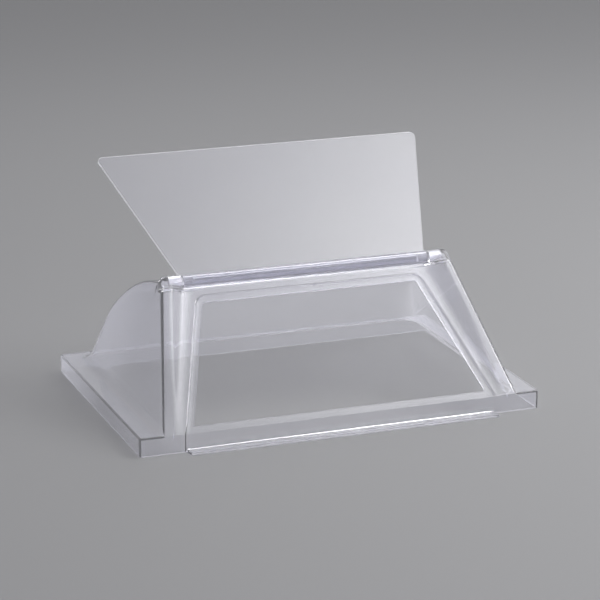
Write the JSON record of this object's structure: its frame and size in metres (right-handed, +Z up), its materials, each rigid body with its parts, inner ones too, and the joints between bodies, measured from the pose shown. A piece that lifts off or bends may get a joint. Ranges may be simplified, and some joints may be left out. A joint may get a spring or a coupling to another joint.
{
  "type": "sneeze guard",
  "caption": "Clear moulded food cover with a wide serving opening in its sloping front and a flat tapered door that swings on end pins along the ridge.",
  "frame": {"origin": "middle of the whole part's box, on the surface that the skirt stands on", "axes": "+X along the width and the hinge, +Y from the serving front to the curved back, +Z up"},
  "size_m": [0.56, 0.398, 0.3151],
  "materials": {
    "clear_shell": "moulded clear polycarbonate with polished faces",
    "clear_door": "clear polycarbonate sheet with polished edges",
    "clear_tube": "extruded clear tube",
    "clear_pin": "turned clear plastic",
    "clear_bush": "moulded clear plastic"
  },
  "bodies": {
    "cover": {"cover_shell": "clear_shell", "hinge_bush_left": "clear_bush", "hinge_bush_right": "clear_bush"},
    "door": {"door_panel": "clear_door", "hinge_tube": "clear_tube", "hinge_pin_left": "clear_pin", "hinge_pin_right": "clear_pin"}
  },
  "joints": [
    {"name": "door_hinge", "type": "hinge", "parent": "cover", "child": "door", "pos_m": [0, -0.038, 0.184], "axis": [1, 0, 0], "range_deg": [0, 192]}
  ]
}
